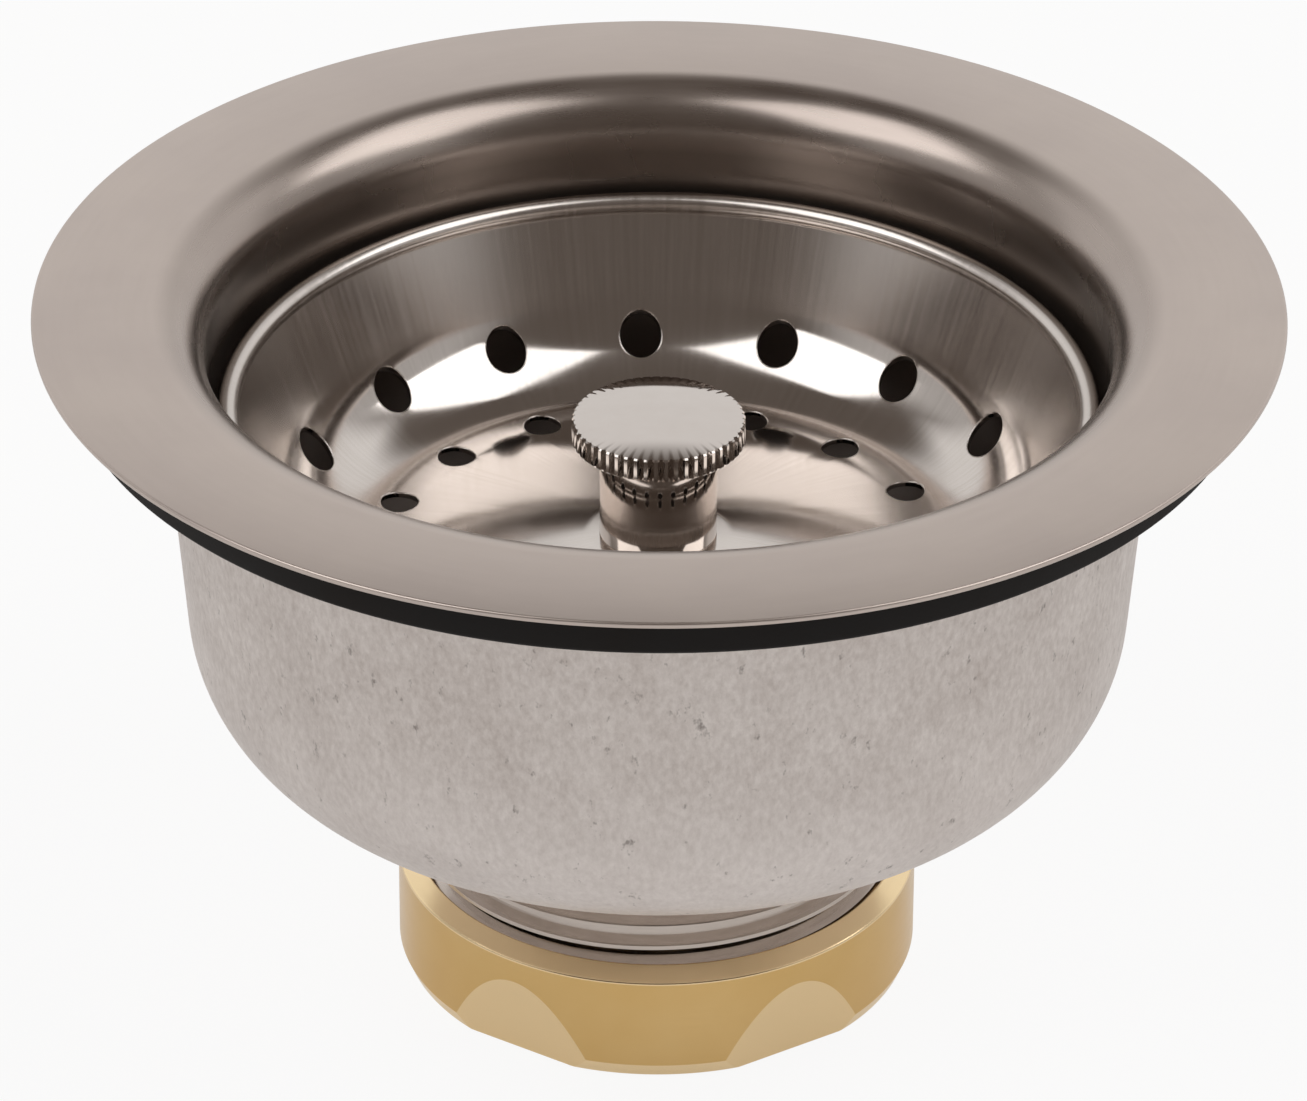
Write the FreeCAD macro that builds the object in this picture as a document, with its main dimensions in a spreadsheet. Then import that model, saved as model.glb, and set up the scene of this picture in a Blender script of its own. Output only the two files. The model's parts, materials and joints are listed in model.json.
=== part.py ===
import FreeCAD, Part
import math
import os
import re
import Sketcher

# Kitchen sink basket strainer, in millimetres, +Z up. The origin is on the axis, in the plane of the
# coupling nut's lower face, which the strainer stands on. Azimuth 0 is +X.

# Driving dimensions. Radii end in _r, thicknesses in _wall, heights and lengths in _rise or _run.
SIZES = {
    # Whole strainer
    "overall_rise": 68.9,
    # Pressed bowl with its flange, rolled lip and outlet neck
    "flange_r": 57.15,
    "body_wall": 0.6,
    "flange_edge_r": 0.22,
    "lip_bend_r": 5.0,
    "bowl_r": 41.45,
    "bowl_bend_r": 9.0,
    "outlet_r": 19.5,
    "outlet_bend_r": 2.0,
    # Threaded tail on the neck, and the thread that it shares with two nuts
    "braze_gap": 0.05,
    "tail_seat_wall": 1.05,
    "tail_bore_step": 0.2,
    "tail_edge_cut": 0.4,
    "thread_pitch": 2.209,
    "thread_depth": 1.05,
    "thread_crest_wall": 0.4,
    "thread_flank_angle": 30.0,
    "thread_lead_run": 1.1,
    "thread_axial_gap": 0.36,
    "thread_radial_gap": 0.34,
    "thread_root_sink": 0.2,
    "bare_thread_run": 8.7,
    # Cross in the outlet and the clip for the stem
    "cross_arm_width": 3.4,
    "cross_arm_wall": 1.6,
    "cross_end_gap": 0.05,
    "cross_hub_wall": 1.75,
    "cross_hub_rise": 2.5,
    "cross_nut_gap": 0.3,
    "clip_wall": 2.14,
    "clip_rise": 1.4,
    "clip_open_angle": 60.0,
    "clip_seat_gap": 0.05,
    "clip_grip_gap": 0.06,
    "stem_guide_gap": 0.3,
    # Rubber gasket and fibre washer under the flange
    "gasket_lip_gap": 0.35,
    "gasket_width": 7.3,
    "gasket_wall": 4.4,
    "gasket_edge_r": 0.5,
    "friction_bowl_gap": 3.55,
    "friction_width": 5.4,
    "friction_wall": 0.8,
    # Outer mounting cup
    "cup_foot_gap": 0.58,
    "cup_floor_gap": 2.7,
    "cup_lip_width": 3.35,
    "cup_lip_bend_r": 1.0,
    "cup_draft_angle": 4.5,
    "cup_bend_step": 5.7,
    "cup_flat_width": 1.0,
    "cup_wall": 0.8,
    "cup_hole_gap": 0.6,
    # Locknut under the cup
    "locknut_wall": 0.91,
    "locknut_rise": 3.6,
    # Coupling nut and its sealing washer
    "coupling_wall": 1.91,
    "coupling_rise": 10.5,
    "coupling_crown_rise": 1.1,
    "coupling_lip_wall": 1.6,
    "coupling_hole_gap": 0.3,
    "coupling_foot_cut": 0.6,
    "coupling_foot_rise": 1.4,
    "coupling_edge_r": 0.3,
    "coupling_flat_cut": 1.33,
    "coupling_flat_rise": 7.1,
    "coupling_flat_turn": 57.4,
    "seal_wall": 2.0,
    "seal_edge_gap": 0.35,
    # Basket, with its levels measured down from the top of its rim
    "basket_wall": 0.5,
    "rim_gap": 0.95,
    "rim_bead_r": 1.0,
    "trough_inset": 7.87,
    "trough_drop": 17.51,
    "trough_bend_r": 11.0,
    "crown_seat_gap": 1.15,
    "crown_top_drop": 14.45,
    "crown_top_bend_r": 6.0,
    "upper_hole_r": 2.0,
    "upper_hole_outset": 1.51,
    "upper_hole_rise": 4.84,
    "upper_hole_tilt": 20.0,
    "lower_hole_r": 1.78,
    "lower_hole_share": 0.736,
    "hole_count": 16,
    "hole_turn": 3.0,
    "hole_punch_run": 8.0,
    # Knob and post
    "knob_r": 8.0,
    "knob_rise": 2.92,
    "knob_crown_rise": 0.6,
    "knob_rim_cut": 0.15,
    "knob_edge_cut": 0.25,
    "knurl_count": 53,
    "knurl_depth": 0.32,
    "knurl_width": 0.62,
    "post_r": 5.45,
    "post_rise": 9.6,
    # Stem, stopper and what holds it
    "stem_r": 2.0,
    "stem_bore_gap": 0.05,
    "stem_knob_run": 2.0,
    "stem_tip_cut": 0.6,
    "stem_tip_gap": 0.3,
    "spacer_r": 4.5,
    "spacer_run": 11.2,
    "backing_inset": 6.0,
    "backing_wall": 1.0,
    "stopper_overlap": 2.5,
    "stopper_wall": 4.0,
    "stopper_edge_r": 0.8,
    "washer_r": 9.0,
    "washer_wall": 0.8,
    "stem_nut_flats": 7.0,
    "stem_nut_rise": 2.4,
}

# Sizes that follow from the ones above.
DERIVED = {
    # Levels, from the face that the strainer stands on up to the bowl's floor
    "tail_low": "coupling_lip_wall + seal_wall",
    "coupling_top": "coupling_rise + coupling_crown_rise",
    "locknut_low": "coupling_top + bare_thread_run",
    "cup_low": "locknut_low + locknut_rise",
    "floor_top": "cup_low + cup_wall + cup_floor_gap + body_wall",
    "tail_top": "floor_top - outlet_bend_r",
    # Levels under the flange
    "flange_under": "overall_rise - body_wall",
    "gasket_low": "flange_under - gasket_wall",
    "cup_top": "gasket_low - friction_wall",
    "cup_lip_under": "cup_top - cup_wall",
    # Levels of the basket and its stopper, from the bowl's floor
    "stopper_top": "floor_top + stopper_wall",
    "backing_top": "stopper_top + backing_wall",
    "basket_under": "backing_top + spacer_run",
    "crown_top": "basket_under + basket_wall",
    "rim_top": "crown_top + crown_top_drop",
    "rim_centre": "rim_top - rim_bead_r",
    "trough_level": "rim_top - trough_drop",
    "upper_hole_level": "trough_level + upper_hole_rise",
    "knob_low": "crown_top + post_rise",
    "knob_top": "knob_low + knob_rise",
    "knob_crown_level": "knob_top - knob_crown_rise",
    "stem_top": "knob_low + stem_knob_run",
    "washer_low": "floor_top - washer_wall",
    "stem_nut_low": "washer_low - stem_nut_rise",
    "neck_end": "stem_nut_low - cross_nut_gap - cross_hub_rise",
    "stem_low": "neck_end + stem_tip_gap",
    # Radii from the outlet outwards
    "neck_outer_r": "outlet_r + body_wall",
    "neck_seat_r": "neck_outer_r + braze_gap",
    "tail_bore_r": "outlet_r - tail_bore_step",
    "tail_root_r": "neck_seat_r + tail_seat_wall",
    "tail_crest_r": "tail_root_r + thread_depth",
    "nut_root_r": "tail_crest_r + thread_radial_gap",
    "nut_tip_r": "tail_root_r + thread_radial_gap",
    "locknut_flats": "2 * (nut_root_r + locknut_wall)",
    "coupling_r": "nut_root_r + coupling_wall",
    "coupling_flat_low_r": "coupling_r - coupling_flat_cut",
    "coupling_hole_r": "tail_bore_r + coupling_hole_gap",
    "stopper_r": "outlet_r + outlet_bend_r + stopper_overlap",
    "backing_r": "stopper_r - backing_inset",
    "cup_hole_r": "tail_crest_r + cup_hole_gap",
    # Radii from the bowl's wall
    "gasket_inner_r": "bowl_r + lip_bend_r + gasket_lip_gap",
    "gasket_outer_r": "gasket_inner_r + gasket_width",
    "friction_inner_r": "bowl_r + body_wall + friction_bowl_gap",
    "friction_outer_r": "friction_inner_r + friction_width",
    "cup_foot_r": "bowl_r + body_wall + cup_foot_gap",
    "cup_rim_r": "cup_foot_r + (cup_lip_under - cup_low) * tan(cup_draft_angle)",
    "cup_lip_r": "cup_rim_r + cup_lip_width",
    "cup_bend_room": "(cup_foot_r - cup_hole_r - cup_flat_width) / tan(45 - cup_draft_angle / 2)",
    "cup_bend_r": "min(bowl_bend_r + cup_bend_step; cup_bend_room)",
    "rim_r": "bowl_r - rim_gap",
    "rim_centre_r": "rim_r - rim_bead_r",
    "trough_r": "rim_r - trough_inset",
    "crown_top_r": "post_r + crown_seat_gap",
    "upper_hole_ring_r": "trough_r + upper_hole_outset",
    "lower_hole_ring_r": "crown_top_r + (trough_r - crown_top_r) * lower_hole_share",
    # Crown of the knob, one wide bend that meets the edge in a short straight run
    "knob_crown_run": "knob_r / 2 - knob_rim_cut",
    "knob_crown_bend_r": "0.92 * knob_crown_run / tan(atan(knob_crown_rise / knob_crown_run) / 2)",
    # Stem, clip and cross
    "stem_bore_r": "stem_r + stem_bore_gap",
    "guide_r": "stem_r + stem_guide_gap",
    "clip_inner_r": "stem_r + clip_grip_gap",
    "clip_outer_r": "clip_inner_r + clip_wall",
    "clip_seat_r": "clip_outer_r + clip_seat_gap",
    "cross_hub_r": "clip_seat_r + cross_hub_wall",
    "cross_end": "sqrt((outlet_r - cross_end_gap)^2 - (cross_arm_width / 2)^2)",
    # Section of the thread
    "thread_start": "tail_low + thread_lead_run",
    "thread_run": "tail_top - tail_low - 2 * thread_lead_run",
    "flank_slope": "tan(thread_flank_angle)",
    "ridge_foot_half": "thread_crest_wall / 2 + thread_depth * flank_slope",
    "ridge_sunk_half": "ridge_foot_half + thread_root_sink * flank_slope",
    "groove_half": "thread_pitch / 2 - thread_crest_wall / 2",
    "nut_root_half": "groove_half + thread_radial_gap * flank_slope - thread_axial_gap",
    "nut_tip_half": "nut_root_half - (nut_root_r - nut_tip_r) * flank_slope",
    "nut_sunk_half": "nut_root_half + thread_root_sink * flank_slope",
}

doc = FreeCAD.newDocument("SinkStrainer")
sheet = doc.addObject("Spreadsheet::Sheet", "Sizes")
for row, (name, value) in enumerate(SIZES.items(), start=1):
    sheet.set(f"A{row}", name)
    sheet.set(f"B{row}", str(value))
    sheet.setAlias(f"B{row}", name)
doc.recompute()

bodies = []


def cells(text):
    """The text as an expression on the sheet's cells, with derived sizes written out."""
    def swap(match):
        word = match.group()
        if word in DERIVED:
            return f"({cells(DERIVED[word])})"
        if word in SIZES:
            return f"Sizes.{word}"
        return word
    return re.sub(r"[a-z][a-z0-9_]*", swap, str(text))


def number(text):
    """The present value of a size or of an expression on sizes."""
    return float(sheet.evalExpression(cells(text)))


def new_body(label):
    body = doc.addObject("PartDesign::Body", label)
    body.Label = label
    bodies.append(body)
    return body


def origin_part(body, role):
    return next(item for item in body.Origin.OriginFeatures if item.Role == role)


def new_sketch(body, name, support=None, plane="XZ_Plane"):
    sketch = body.newObject("Sketcher::SketchObject", f"{body.Name}_{name}")
    sketch.AttachmentSupport = (support or origin_part(body, plane), [""])
    sketch.MapMode = "FlatFace"
    return sketch


def bind(sketch, constraint, text):
    index = sketch.addConstraint(constraint)
    sketch.setExpression(f"Constraints[{index}]", cells(text))


def pin_point(sketch, geometry, end, across, up):
    """Hold one point of a sketch at bound distances from the sketch's origin."""
    for kind, axis, text in (("DistanceX", -2, across), ("DistanceY", -1, up)):
        value = number(text)
        if abs(value) < 1e-9:
            sketch.addConstraint(Sketcher.Constraint("PointOnObject", geometry, end, axis))
        elif value > 0:
            bind(sketch, Sketcher.Constraint(kind, -1, 1, geometry, end, value), text)
        else:
            bind(sketch, Sketcher.Constraint(kind, geometry, end, -1, 1, -value), f"-({text})")


def unit(start, end):
    run = math.hypot(end[0] - start[0], end[1] - start[1])
    return (end[0] - start[0]) / run, (end[1] - start[1]) / run


def shifted(text, factor, length):
    return f"({text}) + {factor:.9f} * ({length})"


def draw_loop(sketch, corners):
    """Draw a closed outline through corners (across, up, bend radius or None), rounding the bends."""
    spots = [(number(across), number(up)) for across, up, _ in corners]
    stops = []
    for index, (across, up, bend) in enumerate(corners):
        if bend is None:
            stops.append((across, up, None))
            continue
        here = spots[index]
        back = unit(here, spots[index - 1])
        ahead = unit(here, spots[(index + 1) % len(spots)])
        half = math.acos(back[0] * ahead[0] + back[1] * ahead[1]) / 2
        reach = 1 / math.tan(half)
        turn = ahead[0] * back[1] - ahead[1] * back[0]
        for heading, arc in ((back, (bend, turn)), (ahead, None)):
            tangent = [shifted(text, share * reach, bend) for text, share in zip((across, up), heading)]
            stops.append((*tangent, arc))
    points = [FreeCAD.Vector(number(across), number(up), 0) for across, up, _ in stops]
    ends = []
    for index, (_, _, bend) in enumerate(stops):
        start, finish = points[index], points[(index + 1) % len(points)]
        if bend is None:
            geometry = sketch.addGeometry(Part.LineSegment(start, finish))
            ends.append((geometry, 1, 2))
            continue
        radius, turn = number(bend[0]), bend[1]
        chord = finish - start
        side = FreeCAD.Vector(-chord.y, chord.x, 0).normalize() * (1 if turn > 0 else -1)
        centre = (start + finish) / 2 + side * math.sqrt(max(radius ** 2 - (chord.Length / 2) ** 2, 0))
        middle = centre - side * radius
        geometry = sketch.addGeometry(Part.Arc(start, middle, finish))
        ends.append((geometry, 1, 2) if turn > 0 else (geometry, 2, 1))
        bind(sketch, Sketcher.Constraint("Radius", geometry, radius), bend[0])
    for index, (geometry, first, last) in enumerate(ends):
        follower, entry, _ = ends[(index + 1) % len(ends)]
        sketch.addConstraint(Sketcher.Constraint("Coincident", geometry, last, follower, entry))
        pin_point(sketch, geometry, first, stops[index][0], stops[index][1])


def draw_circle(sketch, across, up, radius):
    centre = FreeCAD.Vector(number(across), number(up), 0)
    geometry = sketch.addGeometry(Part.Circle(centre, FreeCAD.Vector(0, 0, 1), number(radius)))
    bind(sketch, Sketcher.Constraint("Radius", geometry, number(radius)), radius)
    pin_point(sketch, geometry, 3, across, up)


def sheet_corners(path, wall, side):
    """Corners of a pressed sheet that follows a path, with its wall on the left (1) or right (-1)."""
    spots = [(number(across), number(up)) for across, up, _ in path]
    other = []
    for index, (across, up, bend) in enumerate(path):
        headings = []
        if index > 0:
            headings.append(unit(spots[index - 1], spots[index]))
        if index < len(spots) - 1:
            headings.append(unit(spots[index], spots[index + 1]))
        normals = [(-side * heading[1], side * heading[0]) for heading in headings]
        first, last = normals[0], normals[-1]
        share = 1 + first[0] * last[0] + first[1] * last[1]
        offset = ((first[0] + last[0]) / share, (first[1] + last[1]) / share)
        if len(headings) == 1:
            offset = first
        far_bend = None
        if bend is not None:
            turn = headings[0][0] * headings[1][1] - headings[0][1] * headings[1][0]
            far_bend = f"({bend}) {'-' if turn * side > 0 else '+'} ({wall})"
        other.append((shifted(across, offset[0], wall), shifted(up, offset[1], wall), far_bend))
    return list(path) + other[::-1]


def revolve(body, name, corners, angle=None):
    sketch = new_sketch(body, f"{name}_profile")
    draw_loop(sketch, corners)
    return spin(body, name, sketch, angle)


def spin(body, name, sketch, angle=None):
    feature = body.newObject("PartDesign::Revolution", f"{body.Name}_{name}")
    feature.Profile = sketch
    feature.ReferenceAxis = (sketch, ["V_Axis"])
    feature.Angle = 360
    if angle is not None:
        feature.setExpression("Angle", cells(angle))
    doc.recompute()
    return feature


def ring(body, name, inner, outer, low, top):
    corners = [(inner, low), (outer, low), (outer, top), (inner, top)]
    return revolve(body, name, [(*corner, None) for corner in corners])


def extrude(body, kind, name, sketch, length, level=None, both_ways=False):
    """Pad or pocket a sketch by a bound length, from a bound level if one is given."""
    if level is not None:
        sketch.setExpression("AttachmentOffset.Base.z", cells(level))
    before = body.Shape.Volume if not body.Shape.isNull() else 0
    feature = body.newObject(f"PartDesign::{kind}", f"{body.Name}_{name}")
    feature.Profile = sketch
    feature.setExpression("Length", cells(length))
    feature.Midplane = both_ways
    doc.recompute()
    if kind == "Pocket" and body.Shape.Volume > before - 1e-4:
        raise RuntimeError(f"{feature.Name} cuts nothing")
    return feature


def repeat(body, name, feature, count):
    """Repeat a feature evenly around the axis."""
    pattern = body.newObject("PartDesign::PolarPattern", f"{body.Name}_{name}")
    pattern.Originals = [feature]
    pattern.Axis = (origin_part(body, "Z_Axis"), [""])
    pattern.Angle = 360
    pattern.setExpression("Occurrences", cells(count))
    body.Tip = pattern
    doc.recompute()
    return pattern


def add_ridge(body, corners, run):
    """Wind a thread ridge with the given section around the axis, right-handed, climbing by run."""
    sketch = new_sketch(body, "ridge")
    draw_loop(sketch, corners)
    ridge = body.newObject("PartDesign::AdditiveHelix", f"{body.Name}_thread")
    ridge.Profile = sketch
    ridge.ReferenceAxis = (sketch, ["V_Axis"])
    ridge.Mode = 0
    ridge.setExpression("Pitch", cells("thread_pitch"))
    ridge.setExpression("Height", cells(run))
    doc.recompute()
    return ridge


def add_nut_ridge(body, low, top):
    """Wind the inner ridge of a nut between two levels, in step with the tail's thread."""
    first = f"({low}) + nut_sunk_half"
    turn = f"ceil((({first}) - (thread_start)) / thread_pitch - 0.5)"
    start = f"thread_start + ({turn} + 0.5) * thread_pitch"
    root = "nut_root_r + thread_root_sink"
    corners = [
        (root, f"{start} - nut_sunk_half", None),
        (root, f"{start} + nut_sunk_half", None),
        ("nut_tip_r", f"{start} + nut_tip_half", None),
        ("nut_tip_r", f"{start} - nut_tip_half", None),
    ]
    add_ridge(body, corners, f"({top}) - nut_sunk_half - ({start})")


def hexagon(flats):
    """Corners of a hexagon with one corner on +X."""
    reach = f"({flats}) / 2 / cos(30)"
    return [(f"{reach} * cos({60 * k})", f"{reach} * sin({60 * k})", None) for k in range(6)]


# Pressed bowl: flange, rolled lip, wall, floor and outlet neck
body = new_body("strainer_body")
path = [
    ("flange_r", "overall_rise", None),
    ("bowl_r", "overall_rise", "lip_bend_r"),
    ("bowl_r", "floor_top", "bowl_bend_r"),
    ("outlet_r", "floor_top", "outlet_bend_r"),
    ("outlet_r", "neck_end", None),
]
corners = sheet_corners(path, "body_wall", 1)
corners[0] = (*corners[0][:2], "flange_edge_r")
corners[-1] = (*corners[-1][:2], "flange_edge_r")
revolve(body, "sheet", corners)

# Threaded tail, with a seat for the neck at its upper end
body = new_body("threaded_tail")
revolve(body, "sleeve", [
    ("tail_bore_r", "tail_low", None),
    ("tail_root_r - tail_edge_cut", "tail_low", None),
    ("tail_root_r", "tail_low + tail_edge_cut", None),
    ("tail_root_r", "tail_top", None),
    ("neck_seat_r", "tail_top", None),
    ("neck_seat_r", "neck_end", None),
    ("tail_bore_r", "neck_end", None),
])
ridge_sunk_r = "tail_root_r - thread_root_sink"
add_ridge(body, [
    (ridge_sunk_r, "thread_start - ridge_sunk_half", None),
    ("tail_crest_r", "thread_start - thread_crest_wall / 2", None),
    ("tail_crest_r", "thread_start + thread_crest_wall / 2", None),
    (ridge_sunk_r, "thread_start + ridge_sunk_half", None),
], "thread_run")

# Cross in the outlet, with a hub that is bored for the stem and for the clip
body = new_body("crossbar")
sketch = new_sketch(body, "arms_outline", plane="XY_Plane")
half_arm = "cross_arm_width / 2"
quarter = [("cross_end", f"-{half_arm}"), ("cross_end", half_arm), (half_arm, half_arm)]
outline = []
for quarter_turn in range(4):
    for across, up in quarter:
        outline.append((across, up, None))
    quarter = [(f"-({up})", across) for across, up in quarter]
draw_loop(sketch, outline)
extrude(body, "Pad", "arms", sketch, "cross_arm_wall", "neck_end")
sketch = new_sketch(body, "hub_outline", plane="XY_Plane")
draw_circle(sketch, "0", "0", "cross_hub_r")
extrude(body, "Pad", "hub", sketch, "cross_hub_rise", "neck_end")
bores = (("guide", "guide_r", "cross_hub_rise"), ("clip_seat", "clip_seat_r", "clip_rise"))
for name, radius, depth in bores:
    sketch = new_sketch(body, f"{name}_outline", plane="XY_Plane")
    draw_circle(sketch, "0", "0", radius)
    sketch.setExpression("AttachmentOffset.Base.z", cells("neck_end"))
    before = body.Shape.Volume
    bore = body.newObject("PartDesign::Pocket", f"{body.Name}_{name}")
    bore.Profile = sketch
    bore.setExpression("Length", cells(depth))
    bore.Reversed = True
    doc.recompute()
    if body.Shape.Volume > before - 1e-4:
        raise RuntimeError(f"{bore.Name} cuts nothing")

# Split spring clip in the hub
body = new_body("post_clip")
revolve(body, "split_ring", [
    ("clip_inner_r", "neck_end", None),
    ("clip_outer_r", "neck_end", None),
    ("clip_outer_r", "neck_end + clip_rise", None),
    ("clip_inner_r", "neck_end + clip_rise", None),
], "360 - clip_open_angle")

# Rubber gasket against the flange
body = new_body("sink_gasket")
revolve(body, "ring", [
    ("gasket_inner_r", "gasket_low", None),
    ("gasket_outer_r", "gasket_low", "gasket_edge_r"),
    ("gasket_outer_r", "flange_under", "gasket_edge_r"),
    ("gasket_inner_r", "flange_under", None),
])

# Fibre washer between gasket and cup
body = new_body("friction_washer")
ring(body, "ring", "friction_inner_r", "friction_outer_r", "cup_top", "gasket_low")

# Outer cup: a short lip, a drafted wall, a large bend and a flat bottom with a hole for the tail
body = new_body("mounting_cup")
path = [
    ("cup_lip_r", "cup_lip_under", None),
    ("cup_rim_r", "cup_lip_under", "cup_lip_bend_r"),
    ("cup_foot_r", "cup_low", "cup_bend_r"),
    ("cup_hole_r", "cup_low", None),
]
revolve(body, "sheet", sheet_corners(path, "cup_wall", -1))

# Locknut: a thin hexagon with the tail's thread
body = new_body("locknut")
sketch = new_sketch(body, "outline", plane="XY_Plane")
draw_loop(sketch, hexagon("locknut_flats"))
draw_circle(sketch, "0", "0", "nut_root_r")
extrude(body, "Pad", "plate", sketch, "locknut_rise", "locknut_low")
add_nut_ridge(body, "locknut_low", "cup_low")

# Sealing washer in the coupling nut
body = new_body("tailpiece_washer")
ring(body, "ring", "coupling_hole_r", "nut_root_r - seal_edge_gap", "coupling_lip_wall", "tail_low")

# Coupling nut: round skirt, inner lip, two opposite pairs of sloping flats and the tail's thread
body = new_body("coupling_nut")
revolve(body, "skirt", [
    ("coupling_hole_r", "0", None),
    ("coupling_r - coupling_foot_cut", "0", None),
    ("coupling_r", "coupling_foot_rise", None),
    ("coupling_r", "coupling_rise", "coupling_edge_r"),
    ("nut_root_r", "coupling_top", None),
    ("nut_root_r", "coupling_lip_wall", None),
    ("coupling_hole_r", "coupling_lip_wall", None),
])
slope = "(coupling_r - coupling_flat_low_r) / coupling_flat_rise"
for side, axis in (("left", 1), ("right", -1)):
    sketch = new_sketch(body, f"{side}_flat_outline")
    turn = FreeCAD.Rotation(FreeCAD.Vector(0, axis, 0), number("coupling_flat_turn"))
    sketch.AttachmentOffset = FreeCAD.Placement(FreeCAD.Vector(0, 0, 0), turn)
    sketch.setExpression("AttachmentOffset.Rotation.Angle", cells("coupling_flat_turn"))
    draw_loop(sketch, [
        (f"coupling_flat_low_r - {slope} * coupling_foot_rise", "-coupling_foot_rise", None),
        ("2 * coupling_r", "-coupling_foot_rise", None),
        ("2 * coupling_r", "coupling_flat_rise", None),
        ("coupling_r", "coupling_flat_rise", None),
    ])
    flat = extrude(body, "Pocket", f"{side}_flat", sketch, "2 * coupling_r", both_ways=True)
    repeat(body, f"{side}_flats", flat, "2")
add_nut_ridge(body, "tail_low", "coupling_rise")

# Basket: rolled rim, brushed wall, a wide bend into the trough and a crowned middle, with two rings of holes
body = new_body("basket")
path = [
    ("rim_centre_r", "rim_centre", None),
    ("trough_r", "trough_level", "trough_bend_r"),
    ("crown_top_r", "crown_top", "crown_top_bend_r"),
    ("stem_bore_r", "crown_top", None),
]
revolve(body, "sheet", sheet_corners(path, "basket_wall", 1))
sketch = new_sketch(body, "bead_outline")
draw_circle(sketch, "rim_centre_r", "rim_centre", "rim_bead_r")
spin(body, "bead", sketch)
rings = (
    ("upper", "upper_hole_r", "upper_hole_ring_r", "upper_hole_level", "upper_hole_tilt"),
    ("lower", "lower_hole_r", "lower_hole_ring_r", "trough_level", "0"),
)
turn = math.radians(number("hole_turn"))
for name, radius, ring_r, level, tilt in rings:
    plane = body.newObject("PartDesign::Plane", f"{body.Name}_{name}_plane")
    plane.AttachmentSupport = (origin_part(body, "XY_Plane"), [""])
    plane.MapMode = "FlatFace"
    lean = FreeCAD.Rotation(FreeCAD.Vector(math.sin(turn), -math.cos(turn), 0), number(tilt))
    plane.AttachmentOffset = FreeCAD.Placement(FreeCAD.Vector(0, 0, 0), lean)
    plane.setExpression("AttachmentOffset.Base.x", cells(f"{ring_r} * cos(hole_turn)"))
    plane.setExpression("AttachmentOffset.Base.y", cells(f"{ring_r} * sin(hole_turn)"))
    plane.setExpression("AttachmentOffset.Base.z", cells(level))
    plane.setExpression("AttachmentOffset.Rotation.Angle", cells(tilt))
    sketch = new_sketch(body, f"{name}_hole", plane)
    draw_circle(sketch, "0", "0", radius)
    punch = extrude(body, "Pocket", f"{name}_punch", sketch, "hole_punch_run", both_ways=True)
    repeat(body, f"{name}_holes", punch, "hole_count")

# Post between basket and knob
body = new_body("basket_post")
ring(body, "tube", "stem_bore_r", "post_r", "crown_top", "knob_low")

# Knob with a crowned top, a knurled edge and a blind hole for the stem
body = new_body("knob")
revolve(body, "disc", [
    ("stem_bore_r", "knob_low", None),
    ("knob_r - knob_edge_cut", "knob_low", None),
    ("knob_r", "knob_low + knob_edge_cut", None),
    ("knob_r", "knob_crown_level - knob_rim_cut", None),
    ("knob_r - knob_rim_cut", "knob_crown_level", None),
    ("knob_r / 2", "knob_top", "knob_crown_bend_r"),
    ("0", "knob_top", None),
    ("0", "stem_top", None),
    ("stem_bore_r", "stem_top", None),
])
sketch = new_sketch(body, "tooth_gap", plane="XY_Plane")
draw_loop(sketch, [
    ("knob_r - knurl_depth", "0", None),
    ("knob_r + knurl_depth", "-knurl_width", None),
    ("knob_r + knurl_depth", "knurl_width", None),
])
sketch.setExpression("AttachmentOffset.Base.z", cells("knob_low + knob_rise / 2"))
gap = extrude(body, "Pocket", "gap", sketch, "2 * knob_rise", both_ways=True)
repeat(body, "knurl", gap, "knurl_count")

# Stem from the knob down to the clip
body = new_body("stem")
revolve(body, "rod", [
    ("0", "stem_low", None),
    ("stem_r - stem_tip_cut", "stem_low", None),
    ("stem_r", "stem_low + stem_tip_cut", None),
    ("stem_r", "stem_top", None),
    ("0", "stem_top", None),
])

# Stopper stack on the stem
body = new_body("spacer_sleeve")
ring(body, "tube", "stem_bore_r", "spacer_r", "backing_top", "basket_under")
body = new_body("backing_washer")
ring(body, "disc", "stem_bore_r", "backing_r", "stopper_top", "backing_top")
body = new_body("stopper")
revolve(body, "disc", [
    ("stem_bore_r", "floor_top", None),
    ("stopper_r", "floor_top", "stopper_edge_r"),
    ("stopper_r", "stopper_top", "stopper_edge_r"),
    ("stem_bore_r", "stopper_top", None),
])
body = new_body("stopper_washer")
ring(body, "disc", "stem_bore_r", "washer_r", "washer_low", "floor_top")
body = new_body("retaining_nut")
sketch = new_sketch(body, "outline", plane="XY_Plane")
draw_loop(sketch, hexagon("stem_nut_flats"))
draw_circle(sketch, "0", "0", "stem_bore_r")
extrude(body, "Pad", "plate", sketch, "stem_nut_rise", "stem_nut_low")

# Check every object, then write one file for each piece
doc.recompute()
for item in doc.Objects:
    if "Invalid" in item.State or "Error" in item.State:
        raise RuntimeError(f"{item.Name} failed: {item.State}")
os.makedirs("parts", exist_ok=True)
for body in bodies:
    if body.Shape.isNull() or not body.Shape.isValid() or len(body.Shape.Solids) != 1:
        raise RuntimeError(f"{body.Label} is not one valid solid")
    body.Shape.exportStep(f"parts/{body.Label}.step")
    print(f"{body.Label}: {body.Shape.Volume:.1f} mm3")
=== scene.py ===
import json
import math

import bmesh
import bpy
from mathutils import Euler, Matrix, Vector


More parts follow.
